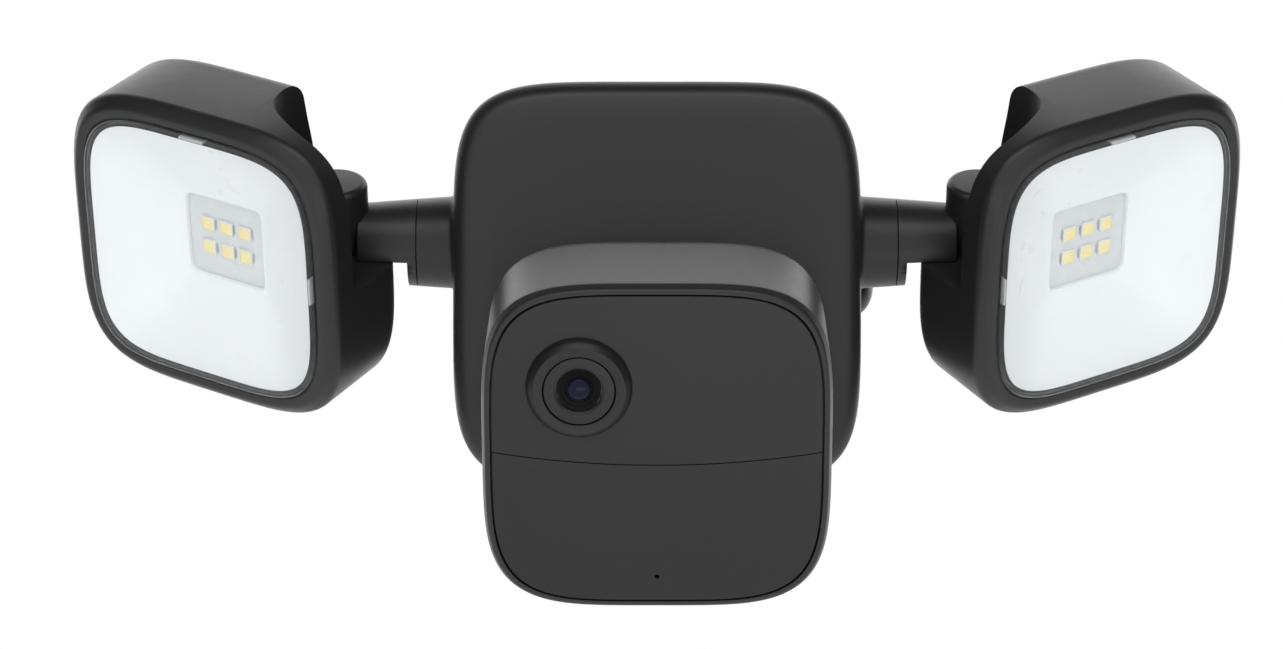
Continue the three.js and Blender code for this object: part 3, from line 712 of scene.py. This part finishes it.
def wall_bracket():
    """The plate on the wall, with four countersunk screw holes."""
    half, depth, screw = BRACKET["half"], BRACKET["depth"], BRACKET["screw"]
    hole, head = BRACKET["hole"], BRACKET["head"]
    profile = filleted(
        [
            (CORE, 0),
            (half - 2.2, 0),
            (half, 0, 0.8),
            (half, -depth, 0.6),
            (half - 3, -depth, 0.4),
            (half - 3, 3 - depth, 1.5),
            (CORE, 3 - depth),
        ]
    )
    plate = loft("bracket_plate", profile, HOUSING["roundness"])
    for x in (-screw, screw):
        for z in (-screw, screw):
            cut(plate, rod("y", hole, -depth - 1, 1, (x, 0, z)))
            cut(plate, turned_tool([(head, 0.5), (head, -0.5), (hole + 0.2, -2.2)], (x, 0, z)))
    put(plate, Matrix(), MATERIALS["shell"], "mount", "wall_bracket", slot="dark_housing")


def release_button():
    """A domed cap on a stem, with a flange that keeps it in the housing."""
    radius, stem, flange = BUTTON["radius"], BUTTON["stem"], BUTTON["flange"]
    inside = HALF - HOUSING["wall"] - GAP
    stem_end = low("release_button").x
    rise = BUTTON["top"] - HALF - GAP
    steps = 14
    dome = []
    for k in range(steps + 1):
        turn = math.pi / 2 * k / steps
        dome.append((max(radius * math.cos(turn), TIP), HALF + GAP + rise * math.sin(turn)))
    profile = [(TIP, stem_end), (stem, stem_end), (stem, inside - 1.3)]
    profile += [(flange, inside - 1.3), (flange, inside), (radius, inside)]
    button = lathe("button_cap", [*profile, *dome], "x")
    place = Matrix.Translation((0, BUTTON["y"], 0))
    put(button, place, MATERIALS["shell"], "release_button", "release_button", slot="dark_housing")


def release_spring():
    """A compression spring under the button's flange."""
    first, last = low("release_spring"), high("release_spring")
    wire, turns, steps, sides = BUTTON["wire"], 3, 96, 10
    coil = last.z - wire
    rings = []
    for k in range(steps + 1):
        turn = WHOLE * turns * k / steps
        outward = Vector((0, math.cos(turn), math.sin(turn)))
        along = first.x + wire + (last.x - first.x - 2 * wire) * k / steps
        middle = Vector((along, BUTTON["y"], 0)) + coil * outward
        ring = []
        for side in range(sides):
            angle = WHOLE * side / sides
            offset = math.cos(angle) * outward + math.sin(angle) * Vector((1, 0, 0))
            ring.append(tuple(middle + wire * offset))
        rings.append(ring)
    spring = skin("button_spring", rings)
    put(spring, Matrix(), MATERIALS["steel"], "mount", "release_spring", slot="steel")
    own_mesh(spring)


# ---------------------------------------------------------------- arms


def arm(side, mirror):
    """An arm in a frame with its origin on the hinge axis below the knuckle. +X is to the housing."""
    knuckle = abs(PIVOT.x)
    root = knuckle - COLLAR_END - GAP + SEAM / 2
    end = knuckle - ARM["end"]
    body = lathe(
        "arm_cone",
        filleted(
            [
                (TIP, end),
                (ARM["end_radius"], end, 0.3),
                (arm_radius(COLLAR_END + GAP), root, 0.12),
                (ARM["shaft"], root),
                (ARM["shaft"], knuckle - ARM["shoulder"]),
                (ARM["thread"], knuckle - ARM["shoulder"]),
                (ARM["thread"], knuckle - ARM["thread_end"]),
                (TIP, knuckle - ARM["thread_end"]),
            ]
        ),
        "x",
    )
    step = knuckle - ARM["step"]
    cut(body, block("half_lap", (-20, -20, -20), (step, 20, 0)))
    soften(body, 0.3)
    radius, height = BARREL["radius"], BARREL["height"]
    barrel = lathe(
        "barrel",
        filleted([(TIP, 0), (radius, 0, 0.3), (radius, height, 1.5), (TIP, height)], steps=8),
        "z",
    )
    boolean(body, barrel, "UNION")
    cut(body, rod("z", BARREL["pin"], -1, BARREL["pin_depth"]))
    body.name = f"{side}_arm_body"
    put(body, mirror @ ARM_PLACE, MATERIALS["shell"], f"{side}_arm", f"{side}_arm", slot="dark_housing")


# ---------------------------------------------------------------- lamps, in the lamp frame


def scoop(grow):
    """The hollow that the knuckle turns in, open to the back, the inner side and the top."""
    knots = [(11, 30), (10.2, 20.6), (13.2, 14), (23.7, 8.7), (36, 9.8)]
    curve = spline(knots, 48)
    points = []
    for k, (x, y) in enumerate(curve):
        before = Vector(curve[max(k - 1, 0)])
        after = Vector(curve[min(k + 1, len(curve) - 1)])
        along = (after - before).normalized()
        points.append((x + grow * along.y, y - grow * along.x))
    outline = [(points[0][0], 60), *points, (60, points[-1][1]), (60, 60)]
    return prism("scoop", outline, "z", LAMP["pivot"].z - GAP - grow, 60)


def lamp_housing(side, mirror):
    """A hollow shell with a crowned back, the scoop for the knuckle and a boss for its pin."""
    half, depth, rim, lens = LAMP["half"], LAMP["depth"], LAMP["rim"], LAMP["lens"]
    outer = filleted(
        [
            (lens + 0.55, rim + 2.3),
            (lens + 0.55, rim + 0.1, 0.35),
            (half - 2.2, rim - 0.1, 2.0),
            (half, rim + 2.2, 2.6),
            (half, depth - 0.4, 7),
            (half - 9, depth + 0.9, 20),
            (half - 20, depth + LAMP["dome"] - 0.25, 60),
            (CORE, depth + LAMP["dome"]),
        ],
        steps=8,
    )
    body = loft("lamp_outer", outer, LAMP["roundness"])
    lip = rim + 2.3
    wall = LAMP["wall"]
    inner = [
        (half - wall, lip),
        (half - wall, depth - 4),
        (half - wall - 2.6, depth - 2),
        (half - wall - 12.8, depth + LAMP["dome"] * 0.75 - 2),
        (CORE, depth + LAMP["dome"] - 2),
    ]
    hollow = loft("hollow", inner, LAMP["roundness"])
    pivot = LAMP["pivot"]
    boss = rod("z", LAMP["boss"], pivot.z - 40, pivot.z, (pivot.x, pivot.y, 0))
    cut(hollow, scoop(1.5), boss)
    mouth = loft("mouth", [(lens + 0.5, rim - 3), (lens + 0.5, lip + 1)], LAMP["lens_roundness"])
    pin_hole = rod("z", LAMP["pin"], pivot.z - 12.3, pivot.z + 1, (pivot.x, pivot.y, 0))
    cut(body, hollow, mouth, scoop(0), pin_hole)
    body.name = f"{side}_lamp_shell"
    place = mirror @ LAMP_PLACE
    put(body, place, MATERIALS["shell"], f"{side}_lamp", f"{side}_lamp_housing", slot="dark_housing")


def lamp_lens(side, mirror):
    """The clear cap: a slightly crowned face, a turned-back edge and a flange behind the lip."""
    lens, flange, wall = LAMP["lens"], LAMP["flange"], LAMP["cap_wall"]
    profile = filleted(
        [
            (CORE, 0.0),
            (lens - 3, 0.12, 20),
            (lens, 0.4, 0.9),
            (lens, 5.05),
            (flange, 5.05),
            (flange, 6.1),
            (lens - wall, 6.1),
            (lens - wall, 1.1, 0.3),
            (CORE, 1.0),
        ]
    )
    cap = loft("lens_cap", profile, LAMP["lens_roundness"])
    cap.name = f"{side}_lens_cap"
    place = mirror @ LAMP_PLACE
    put(cap, place, MATERIALS["clear"], f"{side}_lamp", f"{side}_lamp_lens", slot="clear_cap")


def lens_surround(side, mirror):
    """Two dark bands forming a channel round the clear cap, painted shade for the gap between cap and
    rim, with a light snap tab at the top and the inner side.
    """
    lens = LAMP["lens"]
    place = mirror @ LAMP_PLACE
    outer = [(lens + 0.2, 1.75), (lens + 0.42, 1.75), (lens + 0.42, 4.9), (lens + 0.2, 4.9)]
    skirt = [(lens - 1.22, 1.45), (lens - 1.1, 1.45), (lens - 1.1, 4.9), (lens - 1.22, 4.9)]
    bands = [loft("band", band, LAMP["lens_roundness"], closed=True) for band in (outer, skirt)]
    channel = joined(f"{side}_lens_shade_bands", *bands)
    # These bands are dark sheets that paint the shade in the gap round the cap.
    put(channel, place, MATERIALS["shadow"], f"{side}_lamp", slot="black_rubber")
    tabs = []
    for turn in (0, 90):
        tab = block("tab", (-3.1, 1.35, lens - 1.08), (3.1, 4.8, lens - 0.58), 0.05)
        tab.data.transform(Matrix.Rotation(math.radians(turn), 4, "Y"))
        tabs.append(tab)
    tab_set = joined(f"{side}_snap_tabs", *tabs)
    put(tab_set, place, MATERIALS["tab"], f"{side}_lamp", slot="clear_cap")


def reflector(side, mirror):
    """A smooth bowl from the lens to a rounded-square window with a raised lip."""
    edge, window = LAMP["lens"] - 1.25, WINDOW["half_width"]
    bowl = [(edge - 0.1, 1.65), (26.6, 3.3), (23.5, 5.3), (18.5, 8.0), (13.5, 10.0)]
    bowl.append((window + 0.5, 10.95))
    curve = spline(bowl, 40)
    front = [(edge, 1.6), *curve, (window + 0.15, 10.92), (window, 11.1)]
    back = [(window, 12.07), (window + 0.6, 12.07)]
    back += [(min(half + 0.2, edge), y + 0.8) for half, y in reversed(curve[:-4])]
    rings = []
    for half, y in [*front, *back]:
        share = min(max((edge - half) / (edge - window), 0), 1)
        tall = half - (window - WINDOW["half_height"]) * share
        rings.append(rounded_square(half, tall, y, LAMP["lens_roundness"] + 8 * share**2))
    piece = skin(f"{side}_reflector_bowl", rings, closed=True, sharp=30)
    body, node = f"{side}_lamp", f"{side}_reflector"
    put(piece, mirror @ LAMP_PLACE, MATERIALS["reflector"], body, node, slot="reflector_white")


def led_package(x, z, face):
    """One LED at a place on the board: its case, its sunk phosphor face and two solder joints."""
    size, glow, height = LED["size"] / 2, LED["phosphor"] / 2, LED["height"]
    inset = glow - 0.02
    case = block("case", (x - size, face - height, z - size), (x + size, face + 0.1, z + size), 0.12)
    well = block("well", (x - glow, face - 2, z - glow), (x + glow, face - height + 0.22, z + glow))
    cut(case, well)
    first = (x - inset, face - height + 0.06, z - inset)
    last = (x + inset, face - height + 0.3, z + inset)
    glowing = block("face", first, last, 0.06)
    solder = []
    for end in (-1, 1):
        edge = x + end * (size + 0.02)
        first = (min(edge, edge + end * 0.35), face - 0.25, z - 1.1)
        last = (max(edge, edge + end * 0.35), face + 0.1, z + 1.1)
        solder.append(block("solder", first, last, 0.1))
    return case, glowing, solder


def led_board(side, mirror):
    """The white board with six LED packages."""
    face = 12.1
    place = mirror @ LAMP_PLACE
    base = block(f"{side}_led_plate", (-11, face, -11), (11, face + 1.5, 11), 0.15)
    put(base, place, MATERIALS["white_board"], f"{side}_lamp", f"{side}_led_board", slot="white_board")
    cases, faces, joints = [], [], []
    for column in (-1, 0, 1):
        for row in (-0.5, 0.5):
            case, glowing, solder = led_package(column * LED["pitch_x"], row * LED["pitch_z"], face)
            cases.append(case)
            faces.append(glowing)
            joints += solder
    rows = [
        ("led_cases", cases, "led_case"),
        ("led_faces", faces, "phosphor"),
        ("led_solder", joints, "steel"),
    ]
    for name, parts, key in rows:
        piece = joined(f"{side}_{name}", *parts)
        put(piece, place, MATERIALS[key], f"{side}_lamp", slot="white_board")


# ---------------------------------------------------------------- ball joint


def ball_joint():
    """The collar on the housing's face and the liner that the ball turns in."""
    socket, lip, neck, outer = SOCKET["radius"], SOCKET["lip"], SOCKET["neck"], SOCKET["flange"]
    flange = FRONT + HOUSING["wall"] + GAP - BALL.y
    inside = arc(socket, lip, 90, 14)
    mouth, front = inside[0]
    collar = [*inside, (socket, flange + 1.9), (outer, flange + 1.9), (outer, flange), (neck, flange)]
    collar += filleted([(neck, flange), (neck, front + 0.05, 1.1), (mouth + 0.15, front - 0.05)])[1:]
    ring = lathe("joint_collar", collar, "y", closed=True)
    put(ring, BALL_PLACE, MATERIALS["shell"], "mount", "socket_collar", slot="dark_housing")
    back = arc(SOCKET["liner_outer"], lip, 118, 12)
    inner = arc(SOCKET["liner"], lip, 118, 12)
    liner = lathe("joint_liner", [*inner, *reversed(back)], "y", closed=True)
    put(liner, BALL_PLACE, MATERIALS["nylon"], "ball_liner", "ball_liner", slot="nylon")


def ball_stem():
    """The ball and its stem, with the foot that sits against the rear cover's boss."""
    centre, boss = CAMERA["ball"], CAMERA["boss"]
    radius, ball, foot = STEM["radius"], STEM["ball"], STEM["foot"]
    meets = math.degrees(math.asin(radius / ball))
    sphere = [(max(r, TIP), centre + y) for r, y in arc(ball, meets + 3, 180, 40)]
    flange = boss + GAP
    profile = filleted(
        [
            (TIP, CAMERA["depth"] - 4),
            (radius, CAMERA["depth"] - 4),
            (radius, flange),
            (foot, flange, 0.3),
            (foot, flange + 1.3, 0.5),
            (radius, flange + 2.3, 1.6),
            (radius, centre - ball * math.cos(math.radians(meets)), 0.6),
            sphere[0],
        ]
    )
    stem = lathe("ball_and_stem", [*profile[:-1], *sphere], "y")
    put(stem, CAMERA_PLACE, MATERIALS["face"], "ball_stem", "ball_stem", slot="dark_housing")


# ---------------------------------------------------------------- camera unit, in the camera frame


def camera_frame():
    """The rim round the two front plates."""
    half, plate = CAMERA["half"], CAMERA["plate"]
    profile = filleted(
        [
            (plate + 0.28, 2.3),
            (plate + 0.28, 0.1, 0.25),
            (half - 0.7, 0.45, 1.4),
            (half, 2.3, 1.6),
            (half, 3.08),
            (half - 4, 3.08),
            (half - 4, 2.3),
        ],
        closed=True,
        steps=8,
    )
    rim = loft("camera_rim", profile, CAMERA["roundness"], closed=True)
    put(rim, CAMERA_PLACE, MATERIALS["shell"], "camera", "camera_frame", slot="dark_housing")


def rear_cover():
    """The camera unit's shell, with the boss that the stem enters and a hole for its screw."""
    half, depth, boss = CAMERA["half"], CAMERA["depth"], CAMERA["boss"]
    outer = half - 0.2
    profile = filleted(
        [
            (CORE, depth),
            (outer, depth, 10),
            (half, 3.12),
            (32.5, 3.12),
            (32.5, 4.6),
            (31.2, 4.6),
            (31.2, depth - 2, 8),
            (CORE, depth - 2),
        ],
        steps=16,
    )
    shell = loft("camera_rear_shell", profile, CAMERA["roundness"])
    ring = filleted(
        [
            (TIP, depth - 1),
            (14, depth - 1),
            (14, depth - 0.02),
            (9.5, depth, 2),
            (9.5, boss, 0.6),
            (TIP, boss),
        ]
    )
    boolean(shell, lathe("boss", ring, "y"), "UNION")
    at_screw = (0, 0, REAR_SCREW["z"])
    recess, hole = REAR_SCREW["recess"], REAR_SCREW["hole"]
    cut(shell, turned_tool([(STEM["hole"], depth - 5), (STEM["hole"], boss + 1)]))
    cut(shell, turned_tool([(recess, depth - 1), (recess, depth + 1)], at_screw))
    cut(shell, turned_tool([(hole, depth - 4), (hole, depth)], at_screw))
    put(shell, CAMERA_PLACE, MATERIALS["shell"], "camera", "rear_cover", slot="dark_housing")


def rear_cover_screw():
    """A cross-slotted screw."""
    seat = CAMERA["depth"] - 1
    head, thread = REAR_SCREW["head"], REAR_SCREW["thread"]
    profile = filleted(
        [
            (TIP, seat - 4.5),
            (thread, seat - 4),
            (thread, seat + 0.1),
            (head, seat + 0.1, 0.1),
            (head, seat + 0.9, 0.3),
            (TIP, seat + 1.1),
        ]
    )
    screw = lathe("rear_screw", profile, "y", count=48)
    for turn in (0, 90):
        slot_tool = block("slot", (-1.5, seat + 0.4, -0.3), (1.5, seat + 2, 0.3))
        slot_tool.data.transform(Matrix.Rotation(math.radians(turn), 4, "Y"))
        cut(screw, slot_tool)
    place = CAMERA_PLACE @ Matrix.Translation((0, 0, REAR_SCREW["z"]))
    put(screw, place, MATERIALS["steel"], "camera", "rear_cover_screw", slot="steel")


def meeting_line(x):
    """Height of the line where the two plates meet, sagging towards the middle."""
    return CAMERA["meeting"] + CAMERA["sag"] * (x / CAMERA["plate"]) ** 2


def face_plate(name, upper):
    """One of the two crowned front plates, cut off along their meeting line."""
    plate, crown = CAMERA["plate"], CAMERA["crown"]
    halves = (CORE, 9, 16, 22, 28, plate - 0.12)
    profile = [(half, 0.25 - crown * (1 - (half / plate) ** 2)) for half in halves]
    profile += [(plate, 0.4), (plate, 2), (CORE, 2)]
    whole = loft(name, profile, CAMERA["roundness"])
    shift = 0.11 if upper else -0.11
    reach, steps = 38, 48
    line = []
    for k in range(steps + 1):
        x = -reach + 2 * reach * k / steps
        line.append((x, meeting_line(x) + shift))
    away = 40 if upper else -40
    keep = prism("keep", [*line, (reach, away), (-reach, away)], "y", -2, 4)
    return boolean(whole, keep, "INTERSECT")


def camera_faces():
    """The upper plate has the lens hole and the lower one has the microphone hole."""
    hole, mouth = MICROPHONE["radius"], MICROPHONE["mouth"]
    upper = face_plate("upper_plate", True)
    cut(upper, turned_tool([(LENS["hole"], -1), (LENS["hole"], 3)], CAMERA["lens"]))
    put(upper, CAMERA_PLACE, MATERIALS["face"], "camera", "upper_face", slot="dark_face")
    lower = face_plate("lower_plate", False)
    cut(lower, turned_tool([(mouth, -1), (hole, 0.5), (hole, 3)], (0, 0, MICROPHONE["z"])))
    put(lower, CAMERA_PLACE, MATERIALS["face"], "camera", "lower_face", slot="dark_face")


def lens_group():
    """The bezel, the disc inside it, the stepped black rings and the front element."""
    place = CAMERA_PLACE @ Matrix.Translation(CAMERA["lens"])
    bore, seat, mouth, glass = LENS["bore"], LENS["seat"], LENS["mouth"], LENS["glass"]
    bezel = filleted(
        [
            (bore, 3.0),
            (bore, -2.25, 0.2),
            (9.2, -2.45, 0.5),
            (10.2, -1.3, 1.5),
            (LENS["bezel"], 0.0, 0.2),
            (seat, 0.0),
            (seat, 3.0),
        ],
        closed=True,
    )
    ring = lathe("bezel_ring", bezel, closed=True)
    put(ring, place, MATERIALS["face"], "camera", "lens_bezel", slot="dark_housing")
    disc = filleted(
        [
            (mouth, -1.1),
            (mouth, -1.75, 0.1),
            (5.1, -2.15, 0.4),
            (LENS["disc"], -2.12, 0.15),
            (LENS["disc"], -1.1),
        ],
        closed=True,
    )
    plate = lathe("lens_plate", disc, closed=True)
    put(plate, place, MATERIALS["face"], "camera", "lens_disc", slot="dark_face")
    steps = [(4.35, -1.35), (3.7, -1.3), (3.45, -1.15), (2.9, -1.1), (2.7, -0.95), (2.1, -0.9)]
    cone = lathe("lens_rings", [*steps, (2.1, -0.7), (4.35, -0.7)], closed=True, sharp=20)
    put(cone, place, MATERIALS["black"], "camera", slot="lens_glass")
    dome = []
    for k in range(17):
        turn = math.pi / 2 * k / 16
        dome.append((max(glass * math.sin(turn), TIP), -1.9 + 0.9 * (1 - math.cos(turn))))
    element = lathe("front_element", [*dome, (glass, -0.9), (TIP, -0.9)])
    put(element, place, MATERIALS["glass"], "camera", "lens_glass", slot="lens_glass")


# ---------------------------------------------------------------- stage, lights and camera


def pale(name, level):
    n = Nodes(name)
    n.set(Base_Color=grey(level), Roughness=0.9)
    n.set(Emission_Color=(1, 1, 1, 1), Emission_Strength=0.45)
    return n.material


def stage():
    """A wide white floor below the hanging object."""
    drop, size = 230, 1300
    floor_height = low("rear_cover").z - drop
    mesh = bpy.data.meshes.new("floor")
    corners = [(-size, -size, floor_height), (size, -size, floor_height)]
    corners += [(size, size, floor_height), (-size, size, floor_height)]
    mesh.from_pydata([tuple(MM * v for v in corner) for corner in corners], [], [(0, 1, 2, 3)])
    mesh.materials.append(pale("floor_white", 0.85))
    new_object("floor", mesh)


WORLD = {"back": 1.9, "front": 1.12, "low_front": 0.12, "fill": 0.01}


def area_light(name, place, target, size, watts):
    data = bpy.data.lights.new(name, "AREA")
    data.shape = "RECTANGLE"
    data.size, data.size_y = size
    data.energy = watts
    light = new_object(name, data)
    light.location = place
    light.rotation_euler = (Vector(target) - Vector(place)).to_track_quat("-Z", "Y").to_euler()
    return light


def studio():
    """A white world behind, a glow in front that fades downwards, and six area lights."""
    scene = bpy.context.scene
    scene.view_settings.view_transform = "Standard"
    scene.world = bpy.data.worlds.new("studio")
    scene.world.use_nodes = True
    tree = scene.world.node_tree

    def add(kind, values=(), **settings):
        node = tree.nodes.new(kind)
        for key, value in settings.items():
            setattr(node, key, value)
        for key, value in dict(values).items():
            if isinstance(value, bpy.types.NodeSocket):
                tree.links.new(value, node.inputs[key])
            else:
                node.inputs[key].default_value = value
        return node

    def ramp(value, first, last, level):
        values = {"Value": value, "From Min": first, "From Max": last, "To Min": 0.0, "To Max": level}
        return add("ShaderNodeMapRange", values, interpolation_type="SMOOTHSTEP").outputs["Result"]

    def total(first, second):
        return add("ShaderNodeMath", {0: first, 1: second}, operation="ADD").outputs[0]

    direction = add("ShaderNodeTexCoord").outputs["Generated"]
    axes = add("ShaderNodeSeparateXYZ", {"Vector": direction})
    back = ramp(axes.outputs["Y"], 0.25, 0.6, WORLD["back"])
    ahead = ramp(axes.outputs["Y"], -0.35, -0.8, 1.0)
    rise = WORLD["front"] - WORLD["low_front"]
    height = total(ramp(axes.outputs["Z"], -0.8, -0.35, rise), WORLD["low_front"])
    front = add("ShaderNodeMath", {0: ahead, 1: height}, operation="MULTIPLY").outputs[0]
    level = total(total(back, front), WORLD["fill"])
    seen = add("ShaderNodeLightPath").outputs["Is Camera Ray"]
    strength = add("ShaderNodeMix", {"Factor": seen, "A": level, "B": 1.0}).outputs["Result"]
    background = tree.nodes["Background"]
    background.inputs["Color"].default_value = (1, 1, 1, 1)
    tree.links.new(strength, background.inputs["Strength"])
    # Places and sizes are in metres. The fill and sky lights don't show in reflections.
    for side in (-1, 1):
        fill = area_light("fill", (side * 0.7, -1.0, -0.6), (side * 0.1, -0.077, 0), (0.7, 0.7), 0.9)
        fill.visible_glossy = False
    sky = area_light("sky", (0, -1.0, 0.6), (0, -0.077, 0), (1.2, 0.4), 4.2)
    sky.visible_glossy = False
    area_light("high", (0, -0.6, 0.5), (0, -0.09, 0), (0.7, 0.2), 1.2)
    area_light("face_sheen", (0.03, -0.365, -0.183), (0, -0.125, -0.002), (0.2, 0.06), 0.05)
    area_light("glint", (0.04, -0.95, -0.53), (-0.015, -0.14, -0.02), (0.1, 0.1), 0.3)


def camera():
    """Level, 827 mm in front of the wall face and 8.7 mm below its middle."""
    data = bpy.data.cameras.new("camera")
    data.sensor_width = 36
    data.lens = 97.2
    data.shift_x = -0.0121
    made = new_object("camera", data)
    made.location = (0, -0.827, -0.0087)
    made.rotation_euler = (math.pi / 2, 0, 0)
    bpy.context.scene.camera = made


# ---------------------------------------------------------------- the whole object

repaint_carried()
housing()
wall_bracket()
release_button()
release_spring()
for side_name, side_mirror in (("left", Matrix()), ("right", MIRROR)):
    arm(side_name, side_mirror)
    lamp_housing(side_name, side_mirror)
    lamp_lens(side_name, side_mirror)
    lens_surround(side_name, side_mirror)
    reflector(side_name, side_mirror)
    led_board(side_name, side_mirror)
ball_joint()
ball_stem()
camera_frame()
rear_cover()
rear_cover_screw()
camera_faces()
lens_group()
stage()
studio()
camera()
